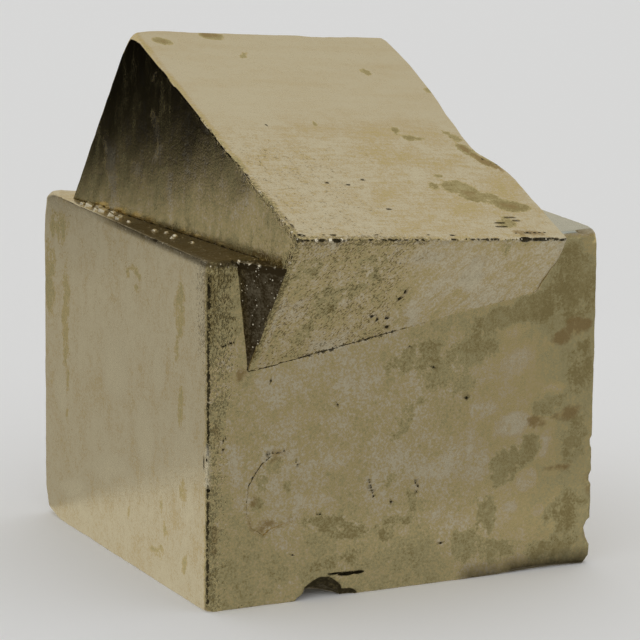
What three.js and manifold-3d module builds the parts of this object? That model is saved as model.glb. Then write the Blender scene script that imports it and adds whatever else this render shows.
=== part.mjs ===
// A pyrite specimen: two intergrown cubic crystals on one base.
//
// The lower crystal is an upright block. The upper crystal is a second block, leaning forward,
// that has grown out through the lower one's top and front faces. A small web of pyrite fills the
// notch between the two. Pyrite breaks with a shell-like fracture, so edges and corners have
// scooped chips, and hidden sides show the shallow dishes and growth ledges of a crystal that grew
// against its neighbours.
//
// Units are millimetres. The origin is the centre of the lower crystal's base, +Z is up, +X runs
// along the front face to the right and +Y runs from the front face to the back.

import * as THREE from "three";
import { ConvexGeometry } from "three/addons/geometries/ConvexGeometry.js";
import { RoundedBoxGeometry } from "three/addons/geometries/RoundedBoxGeometry.js";
import { mergeVertices, toCreasedNormals } from "three/addons/utils/BufferGeometryUtils.js";
import Module from "manifold-3d";

// Driving dimensions of the two crystals.
const LOWER = { width: 43, depth: 41.2, height: 34.8 };
const UPPER = { width: 32.1, depth: 37.2, thickness: 23.5 };

// The upper crystal's front left top corner, measured from the lower crystal's front left base
// corner, and its lean: forward, to the right, and a small turn.
const UPPER_CORNER = { right: 6.35, back: -6.35, up: 37.7 };
const UPPER_LEAN = { forward: 24.4, right: 7.9, turn: 4 };

// Crystal edges are worn slightly round.
const LOWER_EDGE_RADIUS = 0.4;
const UPPER_EDGE_RADIUS = 0.35;
const EDGE_STEPS = 2;

// Fineness of the ellipsoids that scoop out chips and the wide shallow dishes.
const CHIP_DETAIL = 3;
const DISH_DETAIL = 9;
const MERGE_GAP = 1e-4;
const CREASE_ANGLE = Math.PI / 6;

const PYRITE = { color: 0x9c8f66, metalness: 1, roughness: 0.35 };

const wasm = await Module();
wasm.setup();

// A closed three.js geometry as a solid that can be joined and cut.
function solidOf(geometry) {
  const bare = geometry.clone();
  bare.deleteAttribute("normal");
  bare.deleteAttribute("uv");
  const { attributes, index } = mergeVertices(bare, MERGE_GAP);
  return new wasm.Manifold(
    new wasm.Mesh({
      numProp: 3,
      vertProperties: attributes.position.array,
      triVerts: new Uint32Array(index.array),
    }),
  );
}

// The surface of a solid as a three.js geometry.
function geometryOf(solid) {
  const { vertProperties, triVerts } = solid.getMesh();
  const geometry = new THREE.BufferGeometry();
  geometry.setAttribute("position", new THREE.BufferAttribute(vertProperties, 3));
  geometry.setIndex(new THREE.BufferAttribute(triVerts, 1));
  return geometry;
}

// A worn rectangular block between two opposite corners.
function block(low, high, edgeRadius) {
  const size = high.clone().sub(low);
  const middle = low.clone().add(high).multiplyScalar(0.5);
  const box = new RoundedBoxGeometry(size.x, size.y, size.z, EDGE_STEPS, edgeRadius);
  return box.translate(middle.x, middle.y, middle.z);
}

// One shell-like scoop: an ellipsoid that is cut away. It is centred at `at` and reaches `reach`
// each way along the crystal's own axes.
function scoop({ at, reach, detail = CHIP_DETAIL }) {
  const ellipsoid = new THREE.IcosahedronGeometry(1, detail);
  return ellipsoid.scale(...reach).translate(...at);
}

// A growth ledge: a thin plate with an angular outline, standing `rise` proud of the face that it
// lies on and rooted as deep below it. The plate is drawn in the XY plane and placed by `frame`.
function ledge({ outline, rise, frame }) {
  const shape = new THREE.Shape(outline.map(([x, y]) => new THREE.Vector2(x, y)));
  const plate = new THREE.ExtrudeGeometry(shape, { depth: 2 * rise, bevelEnabled: false });
  return plate.translate(0, 0, -rise).applyMatrix4(frame);
}

// The frame of a face: its corner, and the directions of its outline's x and y.
function faceFrame(corner, alongX, alongY) {
  const outward = new THREE.Vector3().crossVectors(alongX, alongY);
  return new THREE.Matrix4().makeBasis(alongX, alongY, outward).setPosition(corner);
}

// A crystal: a worn block with ledges grown on it and scoops broken out of it.
function crystal({ low, high, edgeRadius, ledges, scoops }) {
  let solid = solidOf(block(low, high, edgeRadius));
  for (const plate of ledges) {
    solid = solid.add(solidOf(ledge(plate)));
  }
  for (const chip of scoops) {
    solid = solid.subtract(solidOf(scoop(chip)));
  }
  return solid;
}

const X = new THREE.Vector3(1, 0, 0);
const Y = new THREE.Vector3(0, 1, 0);
const Z = new THREE.Vector3(0, 0, 1);
const LEFT = X.clone().negate();

// The lower crystal, measured from its front left base corner: right, back, up.
const { width: w, depth: d, height: h } = LOWER;

const lowerScoops = [
  // Front base edge: a deep chip left of the middle, and a long one under the right end.
  { at: [12.1, -0.6, -1.2], reach: [3, 5, 2.5] },
  { at: [14.6, -0.3, 2.15], reach: [2.1, 0.9, 0.25] },
  { at: [37, -1.1, -1.2], reach: [8.5, 2.4, 2] },
  { at: [-0.5, -0.5, -0.6], reach: [1.5, 1.5, 1.5] },
  // Front right edge: a row of small scallops towards the base.
  { at: [w + 1, -0.5, 12.75], reach: [1.4, 1.5, 1.5] },
  { at: [w + 1, -0.4, 9], reach: [1.4, 1.6, 1.3] },
  { at: [w + 1.1, -0.4, 3.4], reach: [2, 2, 1.9] },
  { at: [w + 0.5, -0.5, -0.5], reach: [1.5, 1.6, 1.6] },
  // Front upright edge and front top edge.
  { at: [-0.45, -0.45, 14.2], reach: [0.9, 0.9, 1.9] },
  { at: [41, -0.6, h + 0.5], reach: [2.9, 1.3, 1.1] },
  // Left corners at the back.
  { at: [-0.6, d + 0.6, -0.6], reach: [1.8, 1.8, 1.8] },
  { at: [-0.6, d + 0.5, h + 0.5], reach: [1.6, 1.6, 1.6] },
  { at: [4.5, d, h + 2.6], reach: [6, 8, 3] },
  // Right face: shallow dishes where the crystal met its neighbours.
  { at: [w + 8, 15, 8], reach: [8.7, 25, 17], detail: DISH_DETAIL },
  { at: [w + 6, 27, 14], reach: [6.5, 20, 16], detail: DISH_DETAIL },
  // Back edges and corner.
  { at: [w + 0.6, d + 0.8, h + 0.6], reach: [3.4, 3, 2.7] },
  { at: [22, d + 1, -1.1], reach: [7, 2.4, 2.4] },
  { at: [w + 0.9, d + 0.9, 13], reach: [1.9, 1.9, 5] },
];

const lowerLedges = [
  // Back face: two growth ledges, one on the other.
  {
    outline: [[4, 6], [30, 6], [30, 11], [33, 11], [33, 27], [18, 27], [18, 23], [4, 23]],
    rise: 0.4,
    frame: faceFrame(new THREE.Vector3(w, d, 0), LEFT, Z),
  },
  {
    outline: [[9, 10], [25, 10], [25, 19], [14, 19], [14, 16], [9, 16]],
    rise: 0.8,
    frame: faceFrame(new THREE.Vector3(w, d, 0), LEFT, Z),
  },
  // Right face: a ledge along its upper edge, above the dishes.
  {
    outline: [[2, 25], [12, 25], [12, 22], [17, 22], [17, h - 1], [2, h - 1]],
    rise: 0.35,
    frame: faceFrame(new THREE.Vector3(w, 0, 0), Y, Z),
  },
];

const lower = crystal({
  low: new THREE.Vector3(0, 0, 0),
  high: new THREE.Vector3(w, d, h),
  edgeRadius: LOWER_EDGE_RADIUS,
  ledges: lowerLedges,
  scoops: lowerScoops,
});

// The upper crystal in its own frame. Its large sloping face is z = 0, its front left top corner
// is the origin, +X runs along the front edge and +Y up the slope.
const { width: a, depth: b, thickness: c } = UPPER;

const upperScoops = [
  // Right edge of the sloping face: a notch, and the long hollows above it.
  { at: [a + 1.6, 16.6, 1], reach: [4, 4.2, 5] },
  { at: [a + 2.1, 20.5, 1.5], reach: [4.2, 9.5, 4.5] },
  { at: [a + 4.1, 32, 1.5], reach: [5.4, 16, 4.5] },
  { at: [a + 0.4, b + 0.5, 0.4], reach: [1.9, 1.8, 1.8] },
  // Upper edge of the sloping face: one long shallow wave.
  { at: [23, b + 1.5, 0.6], reach: [7, 1.9, 1.9] },
  // Front edge: small chips at the right end and at the corner.
  { at: [24.2, -0.5, 0.4], reach: [1.2, 0.9, 0.8] },
  { at: [28.6, -0.5, 0.4], reach: [1.6, 0.9, 0.8] },
  { at: [-0.4, -0.4, 0.4], reach: [1, 1, 0.9] },
];

const upperLedges = [
  // Right face: a growth ledge below the notch.
  {
    outline: [[6, -11], [27, -11], [27, -5], [20, -5], [20, -7], [6, -7]],
    rise: 0.35,
    frame: faceFrame(new THREE.Vector3(a, 0, 0), Y, Z),
  },
  // Back face: a growth ledge near the upper edge.
  {
    outline: [[5, -9], [22, -9], [22, -6], [26, -6], [26, -2.5], [5, -2.5]],
    rise: 0.35,
    frame: faceFrame(new THREE.Vector3(a, b, 0), LEFT, Z),
  },
];

const upperAtHome = crystal({
  low: new THREE.Vector3(0, 0, -c),
  high: new THREE.Vector3(a, b, 0),
  edgeRadius: UPPER_EDGE_RADIUS,
  ledges: upperLedges,
  scoops: upperScoops,
});

const lean = new THREE.Euler(
  ...[UPPER_LEAN.forward, UPPER_LEAN.right, UPPER_LEAN.turn].map(THREE.MathUtils.degToRad),
  "XYZ",
);
const upperFrame = new THREE.Matrix4()
  .makeRotationFromEuler(lean)
  .setPosition(UPPER_CORNER.right, UPPER_CORNER.back, UPPER_CORNER.up);
const upper = solidOf(geometryOf(upperAtHome).applyMatrix4(upperFrame));

// The web in the front left notch. It hangs from the level of the lower crystal's top, runs out to
// the upper crystal's front left edge, and narrows to a point where that edge enters the front face.
const WEB_LEFT = 2.95;
const WEB_ROOT = 2;
const frontEdge = new THREE.Vector3(0, 0, -1).transformDirection(upperFrame);
const corner = new THREE.Vector3().setFromMatrixPosition(upperFrame);
const edgePoint = (along) => corner.clone().addScaledVector(frontEdge, along);
const webTip = edgePoint((h - corner.z) / frontEdge.z);
const webFoot = edgePoint(-corner.y / frontEdge.y);
const web = new ConvexGeometry([
  new THREE.Vector3(WEB_LEFT, 0, h),
  webTip,
  webFoot,
  new THREE.Vector3(WEB_LEFT, WEB_ROOT, h),
  new THREE.Vector3(webTip.x + WEB_ROOT, WEB_ROOT, h),
  new THREE.Vector3(webFoot.x + WEB_ROOT, WEB_ROOT, webFoot.z),
]);

// Crumbs of pyrite grown on the lower crystal's top face, along its left edge: small turned cubes,
// each given by its place to the right and back, its side and its turn in degrees.
const CRUMBS = [
  { right: 0.8, back: 29.4, side: 0.9, turn: 50 },
  { right: 1.4, back: 29.2, side: 0.7, turn: 10 },
  { right: 0.9, back: 25.4, side: 0.8, turn: 35 },
  { right: 1.5, back: 23.4, side: 0.7, turn: 65 },
  { right: 1.9, back: 19.6, side: 0.6, turn: 15 },
];

function crumb({ right, back, side, turn }) {
  const cube = new THREE.BoxGeometry(side, side, side);
  cube.rotateX(THREE.MathUtils.degToRad(turn / 2));
  cube.rotateZ(THREE.MathUtils.degToRad(turn));
  return cube.translate(right, back, h);
}

// Crystals, web and crumbs are one solid, moved so that the base's centre is the origin.
let specimen = lower.add(upper).add(solidOf(web));
for (const grain of CRUMBS) {
  specimen = specimen.add(solidOf(crumb(grain)));
}

const surface = toCreasedNormals(geometryOf(specimen), CREASE_ANGLE);
const pyrite = new THREE.Mesh(surface, new THREE.MeshStandardMaterial(PYRITE));
pyrite.name = "pyrite_crystals";
pyrite.position.set(-w / 2, -d / 2, 0);

const model = new THREE.Group();
model.add(pyrite);

export default model;
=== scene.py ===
import bmesh
import bpy
import numpy as np
from mathutils import Matrix, Vector


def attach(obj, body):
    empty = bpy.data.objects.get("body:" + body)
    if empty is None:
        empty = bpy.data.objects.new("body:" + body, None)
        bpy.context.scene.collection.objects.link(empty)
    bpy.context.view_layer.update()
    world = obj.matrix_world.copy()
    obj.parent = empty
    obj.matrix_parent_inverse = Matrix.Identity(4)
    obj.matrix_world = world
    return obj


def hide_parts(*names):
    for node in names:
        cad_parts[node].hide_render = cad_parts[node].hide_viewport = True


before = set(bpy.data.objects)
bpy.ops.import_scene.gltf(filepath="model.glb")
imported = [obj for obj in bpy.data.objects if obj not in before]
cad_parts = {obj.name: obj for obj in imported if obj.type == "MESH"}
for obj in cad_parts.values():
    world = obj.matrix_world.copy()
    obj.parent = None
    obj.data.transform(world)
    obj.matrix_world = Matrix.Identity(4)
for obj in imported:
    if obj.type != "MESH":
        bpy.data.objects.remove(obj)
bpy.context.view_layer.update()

# The lower crystal is an upright block of pyrite, an iron sulphide that grows in cubes. Its faces
# are flat growth faces with a slight waviness. Its edges are brittle, so they are worn and chipped.
# All shapes are worked out in millimetres from its front left base corner: right, back, up.
MM = 0.001
LOWER_SIZE = np.array([43.0, 41.2, 34.8])
LOWER_LINES = (106, 70, 92)
EDGE_BUNCHING = 0.62
EDGE_WEAR_REACH = 0.8
GROWTH_FACE, UPPER_FACE, WEB_FACE, CRUMB_FACE, CHIP_FACE, FLAKE_FACE = range(6)
w, d, h = LOWER_SIZE

random_heights = np.random.default_rng(11).random((48, 48, 48))


def noise(points, size, seed=0):
    """A smooth random field from -1 to 1: random heights on a lattice with the given spacing in mm,
    blended between the eight corners around each point by an S-curve. A seed shifts the lattice."""
    lattice = points / size + 13.7 * seed + 5.3
    cell = np.floor(lattice).astype(int)
    part = lattice - cell
    part = part * part * (3 - 2 * part)
    total = np.zeros(len(points))
    for corner in np.ndindex(2, 2, 2):
        weight = np.prod(np.where(corner, part, 1 - part), axis=1)
        i, j, k = ((cell + corner) % random_heights.shape[0]).T
        total += weight * random_heights[i, j, k]
    return 2 * total - 1


def jitter(points, size, seed):
    """A smooth random shift of each point, from -1 to 1 each way: three random fields."""
    return np.stack([noise(points, size, seed + i) for i in range(3)], axis=1)


def ramp(value, low, high):
    """0 below low and 1 above high, with an S-curve between."""
    part = np.clip((value - low) / (high - low), 0, 1)
    return part * part * (3 - 2 * part)


def block(size, lines, bunching=0.0):
    """A rectangular block as one closed grid. Each side is a grid of two of three sets of lines and
    shares its border points with its neighbours. A sine draws the lines towards the edges.
    Gives the points, from the block's low corner, and the four corners of each face."""
    sets = []
    for length, count in zip(size, lines):
        s = np.linspace(0, 1, count)
        sets.append(length * (s - bunching * np.sin(2 * np.pi * s) / (2 * np.pi)))
    on_surface = np.ones(lines, bool)
    on_surface[1:-1, 1:-1, 1:-1] = False
    number = np.full(lines, -1)
    number[on_surface] = np.arange(on_surface.sum())
    points = np.stack([s[i] for s, i in zip(sets, np.nonzero(on_surface))], axis=1)
    faces = []
    for axis in range(3):
        for side in (0, -1):
            grid = np.take(number, side, axis=axis)
            corners = (grid[:-1, :-1], grid[1:, :-1], grid[1:, 1:], grid[:-1, 1:])
            quads = np.stack(corners, axis=-1).reshape(-1, 4)
            outward = (side == -1) != (axis == 1)
            faces.append(quads if outward else quads[:, ::-1])
    return points, np.concatenate(faces)


def to_edge(points, size):
    """The distance in mm from points on a block's surface to its nearest edge: the second smallest
    of the distances to the three nearest sides."""
    return np.sort(np.minimum(points, size - points), axis=1)[:, 1]


def worn(points, size, least, most, seed, soft=()):
    """A block's points with its edges rounded, by a radius that wanders along them between least
    and most mm and grows near soft corners, each a corner, the growth and its reach in mm. The
    wandering sums a fine and a coarse random field. Gives the points and their outward normals."""
    wander = 0.5 + 0.3 * noise(points, 0.9, seed) + 0.35 * noise(points, 4, seed + 1)
    radius = least + (most - least) * np.clip(wander, 0, 1) ** 2
    for corner, growth, reach in soft:
        radius += growth * np.exp(-(np.linalg.norm(points - corner, axis=1) / reach) ** 2)
    radius = radius[:, None]
    inner = np.clip(points, radius, size - radius)
    outward = points - inner
    normals = outward / np.linalg.norm(outward, axis=1, keepdims=True)
    return inner + radius * normals, normals


def placed(name, points, faces):
    """A new mesh object in the scene."""
    mesh = bpy.data.meshes.new(name)
    mesh.from_pydata(points, [], faces)
    made = bpy.data.objects.new(name, mesh)
    bpy.context.scene.collection.objects.link(made)
    return made


def solid(name, points, faces, kind=GROWTH_FACE):
    """A mesh object in mm, marked with the kind of its faces."""
    made = placed(name, points, faces)
    kinds = np.full(len(made.data.polygons), kind)
    made.data.attributes.new("kind", "INT", "FACE").data.foreach_set("value", kinds)
    return made


def combine(base, tool, operation):
    """base becomes its union with tool, or its difference from tool, and tool is used up. Faces
    keep the kind they had."""
    modifier = base.modifiers.new("combine", "BOOLEAN")
    modifier.operation = operation
    modifier.solver = "MANIFOLD"
    modifier.object = tool
    graph = bpy.context.evaluated_depsgraph_get()
    result = bpy.data.meshes.new_from_object(base.evaluated_get(graph))
    base.modifiers.clear()
    spent = [base.data, tool.data]
    base.data = result
    bpy.data.objects.remove(tool)
    for mesh in spent:
        bpy.data.meshes.remove(mesh)


def cut(base, name, shape, kind=CHIP_FACE):
    """Takes a shape, as points and faces, away from base and marks the new faces with a kind."""
    combine(base, solid(name, *shape, kind), "DIFFERENCE")


def copied(faces, step, count):
    """The faces of count copies of a shape, whose points follow each other step by step."""
    return (faces + step * np.arange(count)[:, None, None]).reshape(-1, 4)


BLOW_FROM = (0.6, 0, 0.8)
RINGS_PER_HALF_TURN = 8


def scoops(places, reaches, lines=14, ripple=0.012, seed=0, roughness=0.1):
    """Shell-like scoops that don't touch each other: ellipsoids at places, with their reach each
    way in mm. Each is a block's grid blown round, roughened, with rings rippling out from where the
    blow came."""
    places, reaches = np.atleast_2d(places), np.atleast_2d(reaches)
    ball, faces = block((2, 2, 2), (lines,) * 3)
    ball = (ball - 1) / np.linalg.norm(ball - 1, axis=1, keepdims=True)
    from_blow = np.arccos(np.clip(ball @ BLOW_FROM, -1, 1))
    rings = 1 + ripple * np.cos(2 * RINGS_PER_HALF_TURN * from_blow)
    points = (places[:, None] + reaches[:, None] * (ball * rings[:, None])[None]).reshape(-1, 3)
    rough = np.repeat(reaches.min(axis=1), len(ball))
    points = points + roughness * np.minimum(rough, 1)[:, None] * jitter(points, 0.9, seed)
    return points, copied(faces, len(ball), len(places))


def strewn(runs, spacing, least, most, seed):
    """Places strewn along straight runs, each a start, an end and the chance that a slot is used,
    with their sizes in mm, mostly near the least, and the direction of their runs."""
    draw = np.random.default_rng(seed)
    places, sizes, ways = [], [], []
    for start, end, chance in runs:
        start, way = np.array(start, float), np.subtract(end, start)
        length = np.linalg.norm(way)
        slots = np.arange(0.5, length / spacing - 0.5)
        slots = slots[draw.random(len(slots)) < chance]
        part = (slots + draw.uniform(-0.15, 0.15, len(slots))) * spacing / length
        places.append(start + part[:, None] * way)
        sizes.append(least + (most - least) * draw.random(len(slots)) ** 3)
        ways.append(np.tile(way / length, (len(slots), 1)))
    return np.concatenate(places), np.concatenate(sizes), np.concatenate(ways)


def nicks(runs, spacing, least, most, seed):
    """Small scoops along runs, each a little off its run and drawn out along it."""
    places, sizes, ways = strewn(runs, spacing, least, most, seed)
    draw = np.random.default_rng(seed + 1)
    places = places + sizes[:, None] * draw.uniform(-0.45, 0.45, places.shape)
    reaches = sizes[:, None] * draw.uniform(0.7, 1.15, places.shape) * (1 + 1.4 * np.abs(ways))
    return scoops(places, reaches, lines=5, ripple=0, seed=seed)


def plates(corners, kind=GROWTH_FACE):
    """Growth ledges: thin plates that straddle a block's sides, each given by its low and high
    corners, with rounded rims and outlines that wander a little."""
    for low, high in corners:
        low, high = np.array(low, float), np.array(high, float)
        size = high - low
        points, faces = block(size, tuple(np.clip((size / 0.6).astype(int), 3, 48)))
        points, _ = worn(points, size, least=0.2 * size.min(), most=0.45 * size.min(), seed=5)
        points += low
        sway = jitter(points, 2.5, 20)
        sway[:, np.argmin(size)] = 0
        yield solid("ledge", points + 0.22 * sway, faces, kind)


def traced(outline, count):
    """Points spread evenly over the sides of a closed outline."""
    t = np.linspace(0, len(outline), count, endpoint=False)
    side, part = t.astype(int), (t % 1)[:, None]
    return outline[side] * (1 - part) + outline[(side + 1) % len(outline)] * part


def bands(count, rings, step=None):
    """The four corners of each face between closed rings of count points, where each ring's points
    follow the last one's, or come a step after them."""
    ring = np.arange(count) + count * np.arange(rings - 1)[:, None]
    after = np.roll(ring, -1, axis=1)
    corners = (ring, after, after + (step or count), ring + (step or count))
    return np.stack(corners, axis=-1).reshape(-1, 4)


def flake(outline, deep, shallow, place):
    """A shallow flake scar as a closed cutter: a grid of rings from the outline, given
    anticlockwise, to its middle. Its depth runs evenly from deep to shallow across the outline's
    first direction, under a flat lid above the face. place carries across, up and outward to the
    crystal's frame."""
    count, rings, lid_height = 110, 14, 0.4
    ring = traced(np.array(outline), count)
    ring = ring + 0.16 * jitter(np.column_stack([ring, np.zeros(count)]), 0.8, 95)[:, :2]
    middle = ring.mean(axis=0)
    steps = np.linspace(1, 0.08, rings)[:, None, None]
    grid = (middle + steps * (ring - middle)).reshape(-1, 2)
    across = (grid[:, 0] - ring[:, 0].min()) / np.ptp(ring[:, 0])
    depth = deep + (shallow - deep) * across
    uneven = 0.02 * noise(np.column_stack([grid, depth]), 0.7, 97)
    floor = np.column_stack([grid, uneven - depth])
    lid = np.column_stack([grid, np.full(len(grid), lid_height)])
    quads, wall = bands(count, rings), bands(count, 2, step=len(grid))
    faces = quads[:, ::-1].tolist() + (quads + len(grid)).tolist() + wall.tolist()
    numbers = list(range(2 * len(grid)))
    faces += [numbers[len(grid) - count:len(grid)][::-1], numbers[-count:]]
    return solid("flake", np.vstack([floor, lid]) @ np.array(place), faces, FLAKE_FACE)


# Corners and stretches of edge that are worn rounder than the rest.
LOWER_SOFT = [
    ((0, d, h), 0.9, 2), ((0, d, 0), 1.3, 2.2), ((0, 0, h), 0.7, 1.3), ((w, 0, h), 0.6, 1.4),
    ((36, 0, 0), 0.6, 3.5), ((39.5, 0, 0), 0.6, 3),
]
points, faces = block(LOWER_SIZE, LOWER_LINES, EDGE_BUNCHING)
near_edge = np.exp(-((to_edge(points, LOWER_SIZE) / EDGE_WEAR_REACH) ** 2))
points, normals = worn(points, LOWER_SIZE, least=0.12, most=0.45, seed=1, soft=LOWER_SOFT)
front = np.clip(-normals[:, 1], 0, 1) ** 4
# Waves a few hundredths of a millimetre high, more of them on the right of the front, and crumbled
# edges. The base stays flat.
relief = 0.025 * noise(points, 12, 2) + 0.008 * noise(points, 4, 3)
relief += front * ramp(points[:, 0], 16, 30) * (0.05 * noise(points, 5.5, 4))
relief -= near_edge * (0.02 + 0.09 * front) * np.clip(noise(points, 0.55, 5), 0, 1)
relief[normals[:, 2] < -0.5] = 0
lower = solid("lower_crystal", points + relief[:, None] * normals, faces)

LOWER_LEDGES = [
    ((13, d - 0.4, 6), (39, d + 0.4, 23)), ((10, d - 0.4, 11), (25, d + 0.4, 27)),
    ((18, d - 0.8, 10), (34, d + 0.8, 16)), ((18, d - 0.8, 10), (29, d + 0.8, 19)),
    ((w - 0.35, 2, 25), (w + 0.35, 17, h - 1)), ((w - 0.35, 12, 22), (w + 0.35, 17, h - 1)),
]
for plate in plates(LOWER_LEDGES):
    combine(lower, plate, "UNION")

# Chips, dishes and fresh breaks: the middle of each scoop and its reach each way.
LOWER_CHIPS = [
    ((12.1, -0.6, -1.2), (3, 5, 2.5)), ((12.5, -0.35, 0.1), (2.4, 1.2, 2.1)),
    ((14.9, -0.3, -0.3), (1.9, 0.8, 1.1)), ((13.9, -0.05, 2.36), (0.8, 0.4, 0.1)),
    ((15.2, -0.05, 2.2), (1, 0.5, 0.2)), ((16.4, -0.05, 2.2), (0.7, 0.4, 0.17)),
    ((-0.5, -0.5, -0.6), (1.5, 1.5, 1.5)), ((w + 1, -0.5, 12.75), (1.4, 1.5, 1.5)),
    ((w + 1, -0.4, 9), (1.4, 1.6, 1.3)), ((w + 1.1, -0.4, 3.4), (2, 2, 1.9)),
    ((42.4, -0.6, h + 0.4), (2.6, 1.3, 1.2)), ((w + 0.6, d + 0.8, h + 0.6), (3.4, 3, 2.7)),
    ((22, d + 1, -1.1), (7, 2.4, 2.4)), ((w + 0.9, d + 0.9, 13), (1.9, 1.9, 5)),
]
LOWER_DISHES = [
    ((w + 8, 15, 8), (8.7, 25, 17)), ((w + 6, 27, 14), (6.5, 20, 16)),
    ((4.5, d, h + 2.6), (6, 8, 3)), ((w + 0.5, -0.5, -0.5), (1.5, 1.6, 1.6)),
    ((37, -1.3, -1.4), (9.5, 2.6, 2.2)),
]
FRESH_CHIPS = [((-0.3, -0.35, 14.9), (0.6, 0.7, 0.9)), ((-0.35, -0.3, 13.2), (0.75, 0.6, 0.8))]
# Runs of nicks: start, end and the chance of a nick in each slot.
LOWER_WORN_EDGES = [
    ((0, 0, 1.5), (0, 0, h), 0.7), ((0.5, 0, h), (8, 0, h), 0.7), ((w, 0, 1), (w, 0, h), 0.2),
    ((1, 0, 0), (w - 1, 0, 0), 0.2), ((0, 1, 0), (0, d - 2, 0), 0.08),
    ((0, 1, h), (0, d - 3, h), 0.12), ((w, 1, h), (w, d - 3, h), 0.3),
    ((2, d, h), (w - 3, d, h), 0.3), ((w, d, 2), (w, d, h - 3), 0.3),
    ((w, 2, 0), (w, d - 2, 0), 0.3),
]
for place, reach in LOWER_CHIPS:
    cut(lower, "chip", scoops(place, reach, lines=16, seed=30))
for place, reach in LOWER_DISHES:
    dish = scoops(place, reach, lines=44, ripple=0, seed=40, roughness=0.02)
    cut(lower, "dish", dish, GROWTH_FACE)
for place, reach in FRESH_CHIPS:
    cut(lower, "chip", scoops(place, reach, lines=9, seed=45), GROWTH_FACE)
NICKS = {"spacing": 0.8, "least": 0.07, "most": 0.24}
cut(lower, "nicks", nicks(LOWER_WORN_EDGES, **NICKS, seed=50))

FRONT_CRACKS = [
    ((0.8, 0, 26.3), (3.4, 0, 27), 0.85), ((17.5, 0, 11.7), (18.1, 0, 9.5), 0.8),
    ((9, 0, 14.8), (9.9, 0, 13.6), 0.7), ((22.6, 0, 11.4), (22.9, 0, 9.4), 0.5),
    ((10.2, 0, 8.7), (13.4, 0, 8.5), 0.35), ((5.9, 0, 15.2), (8.6, 0, 15.5), 0.6),
    ((14.1, 0, 19.6), (13.3, 0, 18.8), 0.7), ((21.9, 0, 24.8), (21.3, 0, 24.1), 0.7),
    ((0.6, 0, 16.3), (2.2, 0, 17.6), 0.7), ((0.7, 0, 15.8), (1.9, 0, 16.4), 0.6),
]
FRONT_PITS = [
    ((28.3, -0.05, 18.8), (0.14, 0.12, 0.16)), ((24.5, -0.05, 22.3), (0.11, 0.1, 0.11)),
    ((25.7, -0.05, 4.1), (0.16, 0.12, 0.14)), ((23, -0.05, 10.3), (0.1, 0.1, 0.14)),
    ((20, -0.05, 9), (0.16, 0.12, 0.1)), ((9.2, -0.05, 4.8), (0.1, 0.1, 0.1)),
    ((6.7, -0.05, 22.6), (0.1, 0.1, 0.14)), ((-0.03, 0.9, 14.9), (0.09, 0.1, 0.7)),
    ((0.02, 0.3, 15.3), (0.14, 0.14, 0.15)), ((0.1, 0.12, 12.3), (0.22, 0.22, 0.18)),
]
cut(lower, "cracks", nicks(FRONT_CRACKS, spacing=0.3, least=0.03, most=0.08, seed=55))
cut(lower, "pits", scoops(*zip(*FRONT_PITS), lines=6, seed=56))

SCAR_OUTLINE = [
    (4.24, 9.4), (4.9, 7.8), (5.9, 7.2), (7.8, 8), (9.45, 8.5), (10.2, 10), (10.4, 12.5),
    (9.6, 14.6), (8.3, 15.3), (6.9, 15.2), (5.4, 13.8), (4.43, 12.4), (4.23, 10.9),
]
FRONT_ACROSS_UP_OUT = [(1, 0, 0), (0, 0, 1), (0, -1, 0)]
scar = flake(SCAR_OUTLINE, deep=0.17, shallow=-0.03, place=FRONT_ACROSS_UP_OUT)
combine(lower, scar, "DIFFERENCE")

# The upper crystal is a second block that leans forward and has grown out through the lower one's
# top and front. Its large sloping face is z = 0 of its own frame, with the front left corner at the
# origin, +x along the front edge and +y up the slope.
UPPER_SIZE = np.array([32.1, 37.2, 23.5])
UPPER_LINES = (96, 104, 60)
UPPER_CORNER = np.array([6.35, -6.35, 37.7])
UPPER_LEAN = (24.4, 7.9, 4.0)
a, b, c = UPPER_SIZE

upper_turn = np.eye(3)
for axis, degrees in zip("XYZ", UPPER_LEAN):
    upper_turn = upper_turn @ np.array(Matrix.Rotation(np.radians(degrees), 3, axis))


def lean(points):
    """Points in the upper crystal's own frame, carried to the lower crystal's frame."""
    return points @ upper_turn.T + UPPER_CORNER


FRONT_LEAVES_RIGHT_EDGE = 6.1
UPPER_SOFT = [((0, b, c), 0.75, 1.6), ((a, 0, c - FRONT_LEAVES_RIGHT_EDGE), 1.6, 2.4)]
points, faces = block(UPPER_SIZE, UPPER_LINES, EDGE_BUNCHING)
near_edge = np.exp(-((to_edge(points, UPPER_SIZE) / EDGE_WEAR_REACH) ** 2))
rugged = np.exp(-((points[:, 1] / 3) ** 2))
points, normals = worn(points, UPPER_SIZE, least=0.08, most=0.35, seed=7, soft=UPPER_SOFT)
# Slight waves, crumbled edges, most of all along the front, and streaks on the face in shade.
relief = 0.02 * noise(points, 12, 8) + 0.006 * noise(points, 4, 9)
relief -= near_edge * (0.02 + 0.1 * rugged) * np.clip(noise(points, 0.55, 10), 0, 1)
shade = np.clip(-normals[:, 0], 0, 1) ** 4
streaked = points * (1, 1, 0.4)
relief += shade * (0.016 * noise(streaked, 1.3, 12) + 0.06 * noise(streaked, 3.5, 13))
points = points + relief[:, None] * normals - (0, 0, c)
upper = solid("upper_crystal", points, faces, UPPER_FACE)

UPPER_LEDGES = [
    ((a - 0.16, 6, -11), (a + 0.16, 27, -7)), ((a - 0.16, 20, -11), (a + 0.16, 27, -5)),
    ((a - 22, b - 0.16, -9), (a - 5, b + 0.16, -2.5)),
    ((a - 26, b - 0.16, -6), (a - 5, b + 0.16, -2.5)),
]
for plate in plates(UPPER_LEDGES, UPPER_FACE):
    combine(upper, plate, "UNION")

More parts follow.
